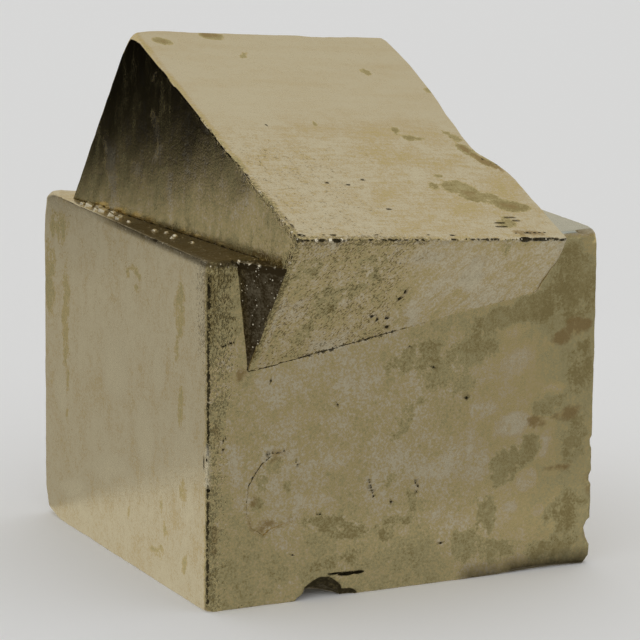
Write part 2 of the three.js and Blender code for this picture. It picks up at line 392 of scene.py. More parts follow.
UPPER_CHIPS = [
    ((23, b + 1.5, 0.6), (7, 1.9, 1.9)), ((26.9, -0.2, 0.2), (0.9, 0.6, 0.6)),
    ((29, -0.2, 0.2), (1.3, 0.5, 0.5)), ((21.6, -0.2, 0.2), (0.5, 0.4, 0.4)),
    ((4.6, -0.15, 0.15), (0.7, 0.5, 0.5)), ((2.8, -0.15, 0.15), (0.5, 0.45, 0.4)),
    ((-0.3, -0.3, 0.3), (0.9, 0.9, 0.8)),
]
UPPER_DISH = ((a + 0.4, b + 0.5, 0.4), (1.9, 1.8, 1.8))
# The right edge of the sloping face: how far up the slope and how far right.
RIGHT_EDGE = [
    (-2, 33.2), (8, 32.3), (10.2, 32.05), (12, 31.75), (13.3, 31.3), (14.4, 30.65), (15.4, 30.05),
    (16.4, 29.95), (18.4, 30.05), (20.3, 30.3), (22.2, 30.42), (24, 30.75), (26, 31), (28, 31.2),
    (30, 31.33), (32, 31.4), (34, 31.25), (36.2, 31.05), (39, 30.9),
]


def bite(edge, radius, rise):
    """A closed tube beside an edge, so that its circles meet the sloping face along the edge's
    curve: each circle is round a middle to the right and a rise above the face."""
    up = np.linspace(edge[0][0], edge[-1][0], 120)
    right = np.interp(up, *np.transpose(edge)) + radius * np.cos(rise)
    angle = np.linspace(0, 2 * np.pi, 64, endpoint=False)
    across, out = right[:, None] + radius * np.cos(angle), radius * (np.sin(rise) + np.sin(angle))
    points = np.stack(np.broadcast_arrays(across, up[:, None], out), axis=-1).reshape(-1, 3)
    points[:, 0] += 0.06 * noise(points, 1.6, 66)
    sides = bands(len(angle), len(up))[:, [0, 3, 2, 1]]
    numbers = list(range(len(points)))
    return points, [*sides.tolist(), numbers[:len(angle)], numbers[-len(angle):][::-1]]


UPPER_WORN_EDGES = [
    ((0, 0, 0), (7, 0, 0), 0.8), ((7, 0, 0), (23, 0, 0), 0.35), ((23, 0, 0), (a, 0, 0), 0.7),
    ((0, 1, 0), (0, 20, 0), 0.5), ((0, 20, 0), (0, b - 3, 0), 0.1), ((0, 0, -1), (0, 0, -5), 0.5),
    ((a, 1, -1), (a, 14, -1), 0.1), ((3, b, 0), (a - 4, b, 0), 0.06),
]
for place, reach in UPPER_CHIPS:
    cut(upper, "chip", scoops(place, reach, lines=18, seed=60))
dish = scoops(*UPPER_DISH, lines=40, ripple=0, seed=65, roughness=0.02)
cut(upper, "dish", dish, UPPER_FACE)
cut(upper, "bite", bite(RIGHT_EDGE, radius=5, rise=np.radians(25)), UPPER_FACE)
cut(upper, "nicks", nicks(UPPER_WORN_EDGES, **NICKS, seed=70))

SLOPE_CRACKS = [
    ((0.5, 0.8, 0), (7, 0.9, 0), 0.25), ((7, 0.9, 0), (20, 0.7, 0), 0.08),
    ((24, 0.9, 0), (30, 1.1, 0), 0.2), ((0.6, 2, 0), (0.7, 9, 0), 0.15),
]
SLOPE_PITS = [
    ((25.4, 2.8, 0.05), (0.75, 0.15, 0.14)), ((25.2, 2.15, 0.05), (0.8, 0.15, 0.16)),
    ((27.2, 3.7, 0.05), (0.8, 0.12, 0.12)), ((27.6, 3.15, 0.05), (0.55, 0.14, 0.14)),
    ((8.7, 9.7, 0.05), (0.16, 0.12, 0.15)), ((11, 9.4, 0.05), (0.16, 0.12, 0.15)),
    ((13.2, 10.3, 0.05), (0.16, 0.14, 0.15)), ((13.4, 5.2, 0.05), (0.3, 0.16, 0.15)),
    ((7.1, 19.9, 0.05), (0.12, 0.12, 0.12)), ((14.8, -0.05, -6.2), (0.12, 0.12, 0.25)),
    ((14.5, -0.05, -7), (0.25, 0.12, 0.14)), ((12, -0.05, -9.1), (0.16, 0.12, 0.14)),
    ((12.8, -0.05, -9.5), (0.14, 0.1, 0.12)), ((13.9, -0.05, -9.4), (0.25, 0.12, 0.12)),
    ((14.3, -0.05, -10.4), (0.2, 0.12, 0.14)), ((15.4, -0.05, -11), (0.16, 0.12, 0.12)),
]
cut(upper, "cracks", nicks(SLOPE_CRACKS, spacing=0.3, least=0.06, most=0.16, seed=75))
cut(upper, "pits", scoops(*zip(*SLOPE_PITS), lines=6, seed=76))
upper.data.transform(Matrix.Translation(UPPER_CORNER) @ Matrix(upper_turn.tolist()).to_4x4())

# The web is a sliver of pyrite that fills the front left notch between the crystals. It hangs from
# just under the lower crystal's top and tapers to a point where the leaning edge enters its front.
WEB_LEFT = 2.95
WEB_ROOT = 2.0
WEB_TOP = h - 0.15
down = lean((0, 0, -1)) - lean((0, 0, 0))
web_tip = UPPER_CORNER + down * (WEB_TOP - UPPER_CORNER[2]) / down[2]
web_foot = UPPER_CORNER - down * UPPER_CORNER[1] / down[1]
web_top = np.array([
    (WEB_LEFT, 0, WEB_TOP),
    web_tip,
    (web_tip[0] + WEB_ROOT, WEB_ROOT, WEB_TOP),
    (WEB_LEFT, WEB_ROOT, WEB_TOP),
])
web_base = web_foot + [(0, 0, 0), (0.05, 0, 0), (WEB_ROOT, WEB_ROOT, 0), (0, WEB_ROOT, 0)]


def taper(top, base, across, along):
    """A closed bar: the outline of its top, cut into equal steps, carried straight to its base's
    outline, with a fan of faces over each end."""
    count = across * len(top)
    v = np.linspace(0, 1, along)[:, None, None]
    points = (traced(top, count) * (1 - v) + traced(base, count) * v).reshape(-1, 3)
    ends = [points[:count].mean(axis=0), points[-count:].mean(axis=0)]
    total = len(points)
    ring, after = bands(count, 2)[:, :2].T
    lid = np.column_stack([np.full(count, total), after, ring])
    foot = np.column_stack([np.full(count, total + 1), ring + total - count, after + total - count])
    return np.vstack([points, ends]), bands(count, along).tolist() + lid.tolist() + foot.tolist()


points, faces = taper(web_top, web_base, across=18, along=44)
rough = jitter(points, 0.6, 80) + 0.5 * jitter(points, 0.3, 83)
points[:, :2] += 0.025 * rough[:, :2]
web = solid("web", points, faces, WEB_FACE)

# Crumbs are tiny cubes of pyrite grown on the lower crystal's top, along its left edge. Each is
# given by right, back, side and turn in degrees. Grit is finer still, and clings to broken edges.
CRUMBS = [
    (0.5, 32, 0.5, 25), (0.7, 30.8, 0.75, 50), (1.3, 29.6, 0.6, 10), (0.5, 28.6, 0.5, 70),
    (0.8, 27.5, 0.8, 35), (1.5, 26.4, 0.5, 15), (0.7, 25.2, 0.65, 65), (1.4, 24.3, 0.45, 40),
    (0.7, 23.2, 0.6, 20), (1.1, 21.6, 0.4, 55), (1.6, 16.3, 0.4, 30), (2.2, 14.8, 0.35, 15),
    (2.4, 13.2, 0.45, 40), (1.7, 12.3, 0.35, 75), (2.6, 9.4, 0.3, 20),
]
for right, back, side, turn in CRUMBS:
    points, faces = block((side,) * 3, (6, 6, 6))
    points, _ = worn(points, np.full(3, side), least=0.05, most=0.3, seed=right)
    grain = solid("crumb", points - side / 2, faces, CRUMB_FACE)
    tip = Matrix.Rotation(np.radians(turn), 4, "Z") @ Matrix.Rotation(np.radians(turn / 2), 4, "X")
    grain.data.transform(Matrix.Translation((right, back, h)) @ tip)
    combine(lower, grain, "UNION")

GRITTY_EDGES = [
    ((0.4, 0.1, h - 0.1), (WEB_LEFT, 0.1, h - 0.1), 0.5),
    ((WEB_LEFT, 0.1, h - 0.1), web_tip, 0.6),
    (lean((0.1, 0, -0.1)), lean((0.1, 10, -0.1)), 0.15),
    (lean((0.5, 0.1, -0.1)), lean((6, 0.1, -0.1)), 0.4),
    (lean((25, 0.1, -0.1)), lean((a - 1.5, 0.1, -0.1)), 0.4),
    (lean((0.1, 0.1, -0.5)), lean((0.1, 0.1, -3.5)), 0.4),
    ((0.15, 0.15, 12.6), (0.15, 0.15, 15.6), 0.5),
]


def grit(runs, spacing, least, most, seed):
    """Tiny cubes strewn along runs, as points and faces, each turned its own way."""
    places, sizes, _ = strewn(runs, spacing, least, most, seed)
    cube, faces = block((1, 1, 1), (3, 3, 3))
    turns = np.linalg.qr(np.random.default_rng(seed).normal(size=(len(places), 3, 3)))[0]
    turns *= np.linalg.det(turns)[:, None, None]
    points = np.einsum("pij,nj->pni", turns, cube - 0.5) * sizes[:, None, None] + places[:, None]
    return points.reshape(-1, 3), copied(faces, len(cube), len(places))


# The pale grit is marked as crumbs and gets their painted highlight; the dark grit is marked as
# chips and gets their dirt and painted shade.
pale_grit = grit(GRITTY_EDGES, spacing=0.6, least=0.12, most=0.3, seed=88)
dark_grit = grit(GRITTY_EDGES[:6], spacing=0.6, least=0.12, most=0.28, seed=89)

# The specimen is both crystals, the web, the crumbs and the grit as one closed mesh, because they
# have grown into one piece. It stands on the middle of the lower crystal's base.
combine(lower, web, "UNION")
combine(lower, upper, "UNION")
combine(lower, solid("pale_grit", *pale_grit, CRUMB_FACE), "UNION")
combine(lower, solid("dark_grit", *dark_grit, CHIP_FACE), "UNION")
specimen = lower
specimen.name = specimen.data.name = "pyrite_specimen"
mesh = specimen.data


def read(items, name, width=1, kind=float):
    """One property of all items of a mesh, as an array."""
    values = np.zeros(len(items) * width, kind)
    items.foreach_get(name, values)
    return values.reshape(-1, width) if width > 1 else values


def stray_points():
    """Points of loose slivers that the cuts left: each point takes the lowest number found along
    its edges until nothing changes, and all but the commonest number is stray."""
    first, second = read(mesh.edges, "vertices", 2, int).T
    labels = np.arange(len(mesh.vertices))
    while True:
        before = labels.copy()
        low = np.minimum(labels[first], labels[second])
        np.minimum.at(labels, first, low)
        np.minimum.at(labels, second, low)
        labels = labels[labels]
        if (labels == before).all():
            return np.nonzero(labels != np.bincount(labels).argmax())[0]


strays = stray_points()
cleaned = bmesh.new()
cleaned.from_mesh(mesh)
cleaned.verts.ensure_lookup_table()
bmesh.ops.delete(cleaned, geom=[cleaned.verts[i] for i in strays], context="VERTS")
cleaned.to_mesh(mesh)
cleaned.free()

points = read(mesh.vertices, "co", 3)
corners = read(mesh.loops, "vertex_index", 1, int)
totals = read(mesh.polygons, "loop_total", 1, int)
kinds = read(mesh.attributes["kind"].data, "value", 1, int)
mesh.attributes.remove(mesh.attributes["kind"])


def share(kind):
    """How much of the ground around each point is of one kind, from 0 to 1."""
    around = np.bincount(corners, np.repeat(kinds == kind, totals), len(points))
    return around / np.bincount(corners, minlength=len(points))


kept_names = []


def keep(name, values):
    """A value for each point of the specimen, for its material to read."""
    mesh.attributes.new(name, "FLOAT", "POINT").data.foreach_set("value", values.astype(np.float32))
    kept_names.append(name)


def fall(value, low, high):
    """1 below low and 0 above high, with an S-curve between."""
    return 1 - ramp(value, low, high)


def blots(u, v, marks):
    """Soft-edged ellipses with wandering outlines: the strongest of the marks at each point. A mark
    is its middle, its reach along and across, its tilt in degrees and its strength."""
    flat = np.column_stack([u, v, np.zeros(len(u))])
    u, v = u + 0.45 * noise(flat, 1.7, 98), v + 0.45 * noise(flat, 1.7, 99)
    total = np.zeros(len(u))
    for middle_u, middle_v, along, across, tilt, strength in marks:
        turn = np.radians(tilt)
        du, dv = u - middle_u, v - middle_v
        x = (du * np.cos(turn) + dv * np.sin(turn)) / along
        y = (dv * np.cos(turn) - du * np.sin(turn)) / across
        total = np.maximum(total, strength * fall(np.hypot(x, y), 0.2, 1.35))
    return total


def near_runs(points, runs, reach):
    """How close each point is to straight runs, from 0 at the reach to each run's weight on it."""
    total = np.zeros(len(points))
    for start, end, weight in runs:
        way = np.subtract(end, start)
        along = np.clip((points - start) @ way / (way @ way), 0, 1)
        gap = np.linalg.norm(points - start - along[:, None] * way, axis=1)
        total = np.maximum(total, weight * np.clip(1 - gap / reach, 0, 1))
    return total


def border(part):
    """Where ground of one kind meets ground of another, from the share of one."""
    return part * (1 - part) > 0.01


def near(gap):
    """How near points are to a plane: 1 within 0.3 mm of it and 0 from 0.9 mm."""
    return fall(np.abs(gap), 0.3, 0.9)


# Places in the lower crystal's frame are x, y and z, and in the upper crystal's own p, q and r.
leaning = (points - UPPER_CORNER) @ upper_turn
x, y, z = points.T
p, q, r = leaning.T
chip, crumb, flaked = share(CHIP_FACE), share(CRUMB_FACE), share(FLAKE_FACE)
web_share, upper_share = share(WEB_FACE), share(UPPER_FACE)
in_block = (np.abs(leaning - UPPER_SIZE / 2 * (1, 1, -1)) < UPPER_SIZE / 2 + 0.1).all(axis=1)
on_upper = upper_share + chip * in_block * (z > h) > 0.4
# The upper crystal's faces are the wedge under its front edge, the large slope, the left face in
# shade, and the back.
front, left, top, right, back = (near(gap) * ~on_upper for gap in (y, x, z - h, x - w, y - d))
wedge, slope, shade, upper_back = (near(gap) * on_upper for gap in (q, r, p, q - b))

# Marks on the faces, as blots() takes them: rust, olive and tan tarnish, and paler patches.
olive = front * blots(x, z, [
    (22.4, 23.6, 4, 1.8, 12, 0.85), (25.3, 21.6, 3, 1.8, 10, 0.8), (28.6, 23.4, 4, 2.2, 12, 0.9),
    (27.6, 20.2, 2.2, 1.4, 0, 0.7), (32.5, 26.6, 4, 1.6, 14, 0.9), (36.2, 27.4, 3.2, 2, 10, 0.8),
    (40.2, 29.6, 3.6, 4.6, 0, 0.8), (41.6, 20.6, 2.2, 4.2, 0, 0.6),
    (37.6, 17.5, 2.4, 1.3, 10, 0.85), (41, 13.2, 2.2, 4, 0, 0.6), (33, 11.2, 2.2, 2.4, -30, 1),
    (35.2, 12.9, 2.6, 1.6, 35, 0.95), (30.9, 6.4, 1.6, 2.7, 10, 0.95),
    (28.6, 3.6, 2.4, 2.2, 0, 0.75), (32.4, 2.6, 3.4, 1.5, 5, 0.7), (40, 5.6, 3, 3.4, 0, 0.6),
    (38.5, 2.2, 4, 1.6, 5, 0.7), (22, 18, 3, 1.2, 35, 0.6), (20.9, 16.2, 2.2, 0.8, 35, 0.7),
    (19.5, 5.7, 1, 1.1, 0, 0.8), (22.2, 8.7, 0.7, 1.7, 0, 0.8), (20.2, 11.4, 2.4, 0.7, 20, 0.6),
    (13.6, 7.2, 5.6, 1.4, -14, 0.7), (21, 6.8, 4, 1, 0, 0.5), (7.4, 14, 1.3, 1.1, 25, 0.95),
    (5.7, 12.3, 0.8, 1.8, -20, 0.8), (5.3, 10.4, 0.7, 1, 0, 0.9), (8.6, 11.6, 0.8, 0.7, 0, 0.7),
    (14, 3.6, 4, 1.2, 5, 0.5),
])
olive += left * blots(y, z, [
    (35.4, 22.6, 1.3, 7, 0, 0.8), (34.8, 14.4, 0.7, 4, 2, 0.7), (39.8, 26, 2, 5.5, 0, 0.7),
    (37, 31.5, 3.6, 2, 0, 0.7), (19.2, 30.4, 0.7, 0.8, 0, 0.9), (17.4, 30.7, 1.6, 0.5, 20, 0.7),
    (16.6, 28.9, 0.5, 0.9, 0, 0.8), (23.5, 31, 0.5, 1.6, 0, 0.6), (12.4, 31.2, 0.4, 1.2, 0, 0.6),
    (19.4, 5.6, 0.5, 1.6, 0, 0.8), (11, 8.2, 0.6, 1.8, 0, 0.75), (9.8, 5.6, 0.7, 1.2, 0, 0.7),
    (11.8, 3.2, 2.2, 0.9, -10, 0.65), (5.6, 3.4, 0.8, 1.6, 0, 0.7), (6.6, 29, 1.8, 4, 0, 0.65),
    (7.4, 24, 1, 3, 0, 0.6), (6.4, 19, 1.7, 2.6, 0, 0.65), (5.6, 10.6, 1, 2.4, 0, 0.6),
])
olive += slope * blots(p, q, [
    (22.7, 11, 1.1, 0.5, 0, 0.7), (21.2, 9.1, 0.9, 0.8, 0, 0.8), (23.8, 8.9, 2.6, 1.3, 0, 1),
    (25, 7.6, 2.2, 1.4, -15, 1), (26.7, 7, 1.9, 1.2, -25, 1), (28.4, 5.8, 2.3, 1.3, -15, 1),
    (22.5, 19.4, 0.6, 0.7, 0, 1), (23.6, 17.9, 1.6, 0.6, -15, 0.9),
    (28.8, 18.3, 1.6, 0.7, -35, 0.9), (29.3, 15.7, 1.7, 1, -55, 1.1),
    (30.6, 13.8, 1.7, 0.9, -55, 1.1), (26.4, 3, 1.8, 1, 15, 0.7), (9.2, 36.5, 1.5, 0.9, 0, 1),
    (2.6, 35.2, 1.1, 0.8, 0, 0.8), (11.5, 33, 0.6, 0.7, 0, 0.75), (25, 30.1, 0.6, 0.8, 0, 0.9),
    (30.8, 27, 0.7, 0.5, 0, 0.7), (13, 20.4, 0.6, 0.7, 0, 0.7),
])
olive += wedge * blots(p, r, [
    (24.9, -1.6, 0.6, 2, 0, 0.6), (15.4, -9.8, 1.4, 1.8, 0, 0.6), (6.6, -6.6, 2.2, 4.5, -50, 0.6),
    (2.3, -3.4, 1.6, 2.2, -40, 0.7), (9, -5, 2.2, 4, -50, 0.6), (10, -2.4, 2, 1.6, 0, 0.6),
    (4.5, -11, 1.4, 2.4, -50, 0.6),
])
olive += right * blots(y, z, [
    (8, 26, 4.5, 7, 10, 0.6), (24, 10, 8, 3, 20, 0.55), (32, 26, 3.5, 7, -15, 0.6),
    (5, 6, 3, 5, 0, 0.6), (15, 16, 1.6, 5, 10, 0.55), (37, 7, 3, 5, 0, 0.6), (20, 30, 6, 2, 5, 0.5),
])
olive += back * blots(x, z, [
    (8, 26, 4, 7, 10, 0.6), (21, 22, 7, 2.4, 10, 0.55), (34, 27, 6, 3.4, -10, 0.6),
    (37, 9, 3, 6, 0, 0.6), (14, 5, 8, 2, 0, 0.55), (5, 12, 1.8, 6, 0, 0.55),
])
olive += upper_back * blots(p, r, [
    (6, -4, 4, 3, 0, 0.6), (15, -9, 7, 2.4, 10, 0.55), (24, -5, 3.2, 4, 0, 0.6),
])
keep("stain", olive)
low_right = ramp(x, 26, 29) * fall(x, 37, 40) * fall(z, 13, 18)
high_right = ramp(x, 19, 24) * fall(x, 37, 40) * ramp(z, 17, 20)
front_depth = 0.08 - 0.1 * ramp(x, 18, 30) + 0.14 * low_right + 0.03 * high_right
keep("stain_depth", 0.22 + 0.28 * slope + 0.1 * left + front * front_depth)
pale = front * blots(x, z, [
    (33.4, 25, 2.2, 1.2, 15, 0.5), (34.2, 22, 3.2, 2, 25, 0.6), (30.2, 17.4, 2.4, 1.4, 0, 0.75),
    (33.6, 15.6, 2.6, 1.6, 10, 0.9), (35.5, 9.6, 1.6, 1.5, 40, 0.95), (33.8, 7, 1.1, 0.8, 30, 0.85),
    (36.9, 6.3, 1.2, 0.8, 0, 0.95), (25.4, 12.2, 3.6, 1.6, 15, 0.75), (37.4, 13, 1.3, 1.7, 0, 0.8),
    (38.5, 18.7, 2, 0.9, 15, 0.8), (25.3, 7.3, 1.8, 1.4, 0, 0.55), (11.2, 10.2, 2.6, 1.2, -10, 0.7),
    (3.1, 12.4, 1.4, 3.4, 0, 0.65), (14.3, 14.2, 2.2, 1.4, 10, 0.7), (9.9, 18.4, 3.4, 1.8, 0, 0.5),
])
pale += left * blots(y, z, [
    (22.5, 20, 4.4, 5, 0, 0.6), (15.4, 14.6, 3.4, 4, 0, 0.65), (11.6, 21.4, 1.6, 3.6, 0, 0.6),
    (36.4, 14, 3, 3.6, 0, 0.55), (24, 9, 7, 2.2, -15, 0.5), (34, 4.4, 5, 1.2, -15, 0.6),
])
pale += wedge * blots(p, r, [
    (0.7, -12, 0.9, 3.5, 0, 0.8), (1, -7.6, 0.9, 2, 0, 0.7), (3, -7.2, 2.2, 0.6, 20, 0.7),
    (7.3, -12.4, 2.4, 0.9, -10, 0.6), (15.5, -2.4, 3.5, 2, 0, 0.6), (16.4, -9.6, 1.8, 1.8, 0, 0.6),
    (22, -4, 2, 3, 0, 0.6),
])
pale += shade * blots(q, r, [
    (30.7, -1.4, 0.5, 1.6, 0, 0.6), (27.6, -5.2, 2.4, 0.9, 40, 0.7),
    (25.7, -7.4, 0.9, 2.2, 10, 0.7), (33, -12.8, 4.4, 1.1, 30, 0.65),
    (31.4, -15, 4.4, 1.1, 25, 0.65), (27.4, -11.4, 3.4, 1.6, 20, 0.6), (22, -9, 2.6, 1, 50, 0.6),
])
keep("pale", pale)
HIDDEN_RUST = [(19, 22, 1.3, 0.8, 20, 0.6), (34, 17, 0.9, 1.3, 0, 0.6), (8, 30, 1.4, 0.6, 0, 0.55)]
scar_edge = [(across, 0, up) for across, up in SCAR_OUTLINE[-6:] + SCAR_OUTLINE[:5]]
scar_runs = [(start, end, 0.48) for start, end in zip(scar_edge, scar_edge[1:])]
rust = front * blots(x, z, [
    (40.9, 25.1, 1.7, 1.2, 0, 1.1), (39.2, 24.2, 1.5, 0.9, 20, 0.9), (36.3, 15.7, 1.5, 0.9, 0, 0.8),
    (38.6, 16, 1.2, 0.5, 0, 0.7), (40, 16.2, 2.1, 0.9, 10, 0.85), (39.5, 10.6, 2.4, 0.6, 5, 0.9),
    (42.5, 8.4, 0.7, 1.6, 0, 0.7), (3.4, 23.4, 0.9, 0.9, 0, 0.8), (4.2, 24.3, 0.4, 0.9, 0, 0.6),
    (6.2, 8.1, 1.4, 0.7, 15, 0.7), (5, 10.7, 0.6, 0.9, 0, 0.75), (7.6, 14.6, 1, 0.5, 20, 0.55),
    (1.6, 31, 1.2, 1.6, 0, 0.45), (0.9, 18, 0.9, 2.6, 0, 0.35), (0.8, 7.4, 0.8, 3, 0, 0.4),
])
rust = np.maximum(rust, near_runs(points, scar_runs, reach=0.9))
rust += right * blots(y, z, HIDDEN_RUST) + back * blots(x, z, HIDDEN_RUST)
rust = np.maximum(rust, slope * blots(p, q, [
    (24.8, 8, 1.6, 0.8, -15, 0.5), (28.4, 5.8, 1.4, 0.7, -15, 0.55), (22.5, 19.4, 0.4, 0.5, 0, 0.5),
    (29.2, 16, 1.3, 0.6, -55, 0.9), (30.2, 14.3, 1.6, 0.7, -55, 1.1), (31.2, 13, 1, 0.6, -55, 1.1),
    (9.2, 36.6, 1.4, 0.6, 0, 0.8), (2.6, 35.2, 1, 0.5, 0, 0.5), (28.6, 1, 1.6, 0.7, 0, 0.8),
    (26.8, 1, 1, 0.8, 0, 0.8),
]))
keep("rust", rust)

# Tarnish and painted shading run from 0, pale brass, to 1, brown. The front has the most: tarnish
# at its left side, and painted shade at its right side and along its foot, where it mirrors the
# darker floor near the specimen, and below the wedge, in its shade. The slope has the least
# tarnish, and the right of the top is paler with painted light.
low_slope = fall(q, 14, 24)
to_right = ramp(x, 20, 30)
under_seam = 24.6 + 0.14 * (x - 4.6) - z
at_left = 0.12 * near(x) + 0.06 * fall(x, 1, 4.5) + 0.34 * ramp(z, 25, 29) * fall(x, 3, 6)
# Painted shade: the front darker at its right side and along its foot, where it mirrors the darker
# floor near the specimen.
at_right = 0.05 * ramp(x, 27, 34) + 0.15 * ramp(x, 34, 40)
at_foot = 0.2 * fall(z, 3, 10) * fall(x, 24, 30)
# Painted shade below the wedge, under its overhang.
below_wedge = 0.09 * ramp(x, 17, 22) * fall(x, 39, 42) * fall(under_seam, 3.5, 6.5)
tarnish_and_shading = 0.36 + front * (0.11 + at_left + at_right + at_foot + below_wedge)
# Painted light: the wedge paler towards its right, where its reflection is brighter.
tarnish_and_shading += wedge * (0.14 - 0.12 * ramp(p, 12, 24)) + 0.2 * shade - 0.06 * left
# Painted light: the right of the top paler, with a painted grey reflection.
tarnish_and_shading += top * (0.04 - 0.36 * to_right)
tan = blots(p, q, [
    (13.4, 18.8, 5, 1.6, 0, 0.8), (20.5, 19.2, 5, 1.8, 0, 1), (25.5, 18.8, 4, 2.6, -10, 1),
    (19, 14.2, 5, 1.8, 0, 0.9), (24.5, 13.6, 4, 1.8, -10, 0.9), (18.4, 7, 4.6, 2.6, -10, 1),
    (22.5, 5.4, 5, 2.2, -10, 1), (30.6, 9.6, 1.8, 3.4, 0, 0.9), (11, 12.8, 4, 1, 0, 0.6),
])
tarnish_and_shading += slope * (0.02 * low_slope - 0.04 + 0.1 * tan)
keep("tarnish_and_shading", tarnish_and_shading)

# How strongly the patterns of the growth faces show: blotches, fine grain, streaks and smears.
mottling = 0.5 + front * (0.4 - 0.45 * ramp(x, 24, 34)) + 0.3 * shade
mottling += wedge * (0.3 - 0.1 * ramp(p, 14, 20)) + slope * (0.45 * low_slope - 0.4)
keep("mottling", mottling)
keep("grained", 0.25 + slope * (0.9 * low_slope - 0.2) + 0.5 * wedge + 0.3 * shade)
keep("streaked", 0.2 - 0.08 * left + 0.3 * shade - 0.05 * slope)
keep("polish", shade)

# Pits are thickest along the crystals' front edges and on the left of the wedge.
pitting = slope * (0.04 + low_slope * (0.4 + 0.4 * fall(p, 8, 18)))
pitting += wedge * (1 - 0.8 * ramp(p, 13, 18)) + 0.8 * shade * fall(q, 4, 16) * fall(-r, 8, 14)
pitting += front * (1.2 * fall(x, 0.3, 4.2) + 0.5 * fall(x, 2, 7) * ramp(z, 17, 24) + 0.1)
pitting += left * (0.85 * fall(y, 1, 9) * ramp(z, 18, 30) + 0.55 * fall(y, 0.5, 5))
pitting += 0.7 * top * (1 - to_right) + 0.3 * (right + back)
keep("pitting", np.clip(pitting, 0, 1.35))

# Dirt lies along edges and seams: start, end and weight of each run.
LOWER_DIRTY_EDGES = [
    ((0, 0.1, 0), (0, 0.1, 12.3), 1.2), ((0, 0.1, 15.9), (0, 0.1, h), 1.2),
    ((0, 0, h), (7, 0, h), 0.6), ((1, 0, 0), (w, 0, 0), 0.5), ((0, 0, h), (0, d, h), 0.2),
    ((w, 0, 0), (w, 0, h), 0.3),
]
UPPER_DIRTY_EDGES = [
    ((0, 0, 0), (a, 0, 0), 1.05), ((0, 0, 0), (5.5, 0, 0), 1.2),
    ((25.5, 0, 0), (a - 1, 0, 0), 1.25), ((0, 0, 0), (0, 14, 0), 0.9),
    ((0, 14, 0), (0, 22, 0), 0.6), ((0, 0, 0), (0, 0, -5), 0.6),
    ((14.6, -0.1, -11.4), (15.6, -0.1, -11.2), 1), ((30, 14.4, 0), (31.4, 13, 0), 0.8),
]
seam_way = np.cross((0, 1, 0), upper_turn[:, 1])
seam_way /= np.linalg.norm(seam_way)
SEAM_DIRT = [(web_foot + 6 * seam_way, web_foot + 16 * seam_way, 0.75)]
# Painted shade along the front's foot at the right: a dark band where the rounded bottom edge
# mirrors the floor's shadow.
FOOT_SHADE_RUNS = [((29, 0.2, 0.2), (34, 0.2, 0.2), 0.85), ((34, 0.2, 0.2), (w - 1, 0.2, 0.2), 1.0)]
dirty = near_runs(points, LOWER_DIRTY_EDGES, reach=0.45) * ~on_upper
dirty += near_runs(leaning, UPPER_DIRTY_EDGES, reach=0.4) * on_upper
keep("dirty", np.maximum(dirty, near_runs(points, SEAM_DIRT, reach=0.6)))
keep("foot_shade_mask", near_runs(points, FOOT_SHADE_RUNS, reach=3.2) * (y < 3) * ~on_upper)
seams = np.maximum(border(upper_share), border(web_share)) * (1 - 0.3 * ramp(x, 18, 25))
scar_line = border(flaked) * (0.9 + 0.3 * (z > 11.5) * (z < 14.5)) * (x < 8)
keep("rim", np.maximum(seams, scar_line))
# Painted shade in the notch: the web and the front of the top's left strip, beside the upper
# crystal's face in shade, get a dark brown coat.
keep("notch_shade", web_share + 0.78 * top * fall(x, 8, 12) * fall(y, 19, 30))

# The right of the top has a painted grey reflection. Chips are dark, with dirt and with painted
# shade in their hollows, less so at the right end, towards the back, at the bottom left corner and
# on the slope away from its front edge. Crumbs get a painted highlight, and one fresh break on the
# front left edge is pale.
keep("painted_top_sheen", 0.85 * top * (1 - chip) * (z > h - 0.25) * ramp(x, 30, 36) * fall(y, 6, 18))
chips_paler_at = [ramp(x, 39, 42) * ~on_upper, ramp(y, 20, 30), ramp(q, 24, 32), (x < 2) * (z < 2)]
paler = np.max(chips_paler_at, axis=0)
keep("chip", chip * (1 - 0.65 * paler - 0.3 * slope * (q > 1.5)))
FRESH_EDGE = [((0, 0.35, 12.7), (0, 0.35, 16.2), 0.75)]
fresh = near_runs(points, FRESH_EDGE, reach=0.55) * (1 - chip)
# Painted highlight on crumbs and the pale grit, and the pale fresh break.
keep("crumb", np.maximum(crumb * (1 - 0.25 * ramp(y, 18, 24)), fresh))
keep("rough", np.clip(0.6 * top * (1 - to_right) + chip, 0, 1))
# Where the painted glints go: the web, the left of the top and the front top edge.
gritty = near_runs(points, [((0, 0, h), (8, 0, h), 0.5)], reach=0.8)
keep("sparkle", np.clip(web_share + top * (1 - to_right) + gritty, 0, 1))

UPPER_GRAIN = (60, 50, 0)
LOWER_GRAIN = (90, 90, 0)
STRIP_WIDTH = 100


def grain_map():
    """A flat map of the faces in mm: V runs along each face's own grain, which stands at an angle
    in degrees, and U across it. A face's axis is the one nearest its normal, and each face has its
    own strip of the map."""
    upper_face = kinds == UPPER_FACE
    normals = read(mesh.polygons, "normal", 3)
    turned = np.where(upper_face[:, None], normals @ upper_turn, normals)
    axis = np.abs(turned).argmax(axis=1)
    grain = np.where(upper_face, np.choose(axis, UPPER_GRAIN), np.choose(axis, LOWER_GRAIN))
    axis, upper_face, grain = (np.repeat(v, totals) for v in (axis, upper_face, np.radians(grain)))
    at = np.where(upper_face[:, None], leaning[corners], points[corners])
    u = np.where(axis == 0, at[:, 1], at[:, 0])
    v = np.where(axis == 2, at[:, 1], at[:, 2])
    along = u * np.cos(grain) + v * np.sin(grain) + STRIP_WIDTH * (axis + 3 * upper_face)
    return np.stack([v * np.cos(grain) - u * np.sin(grain), along], axis=1)


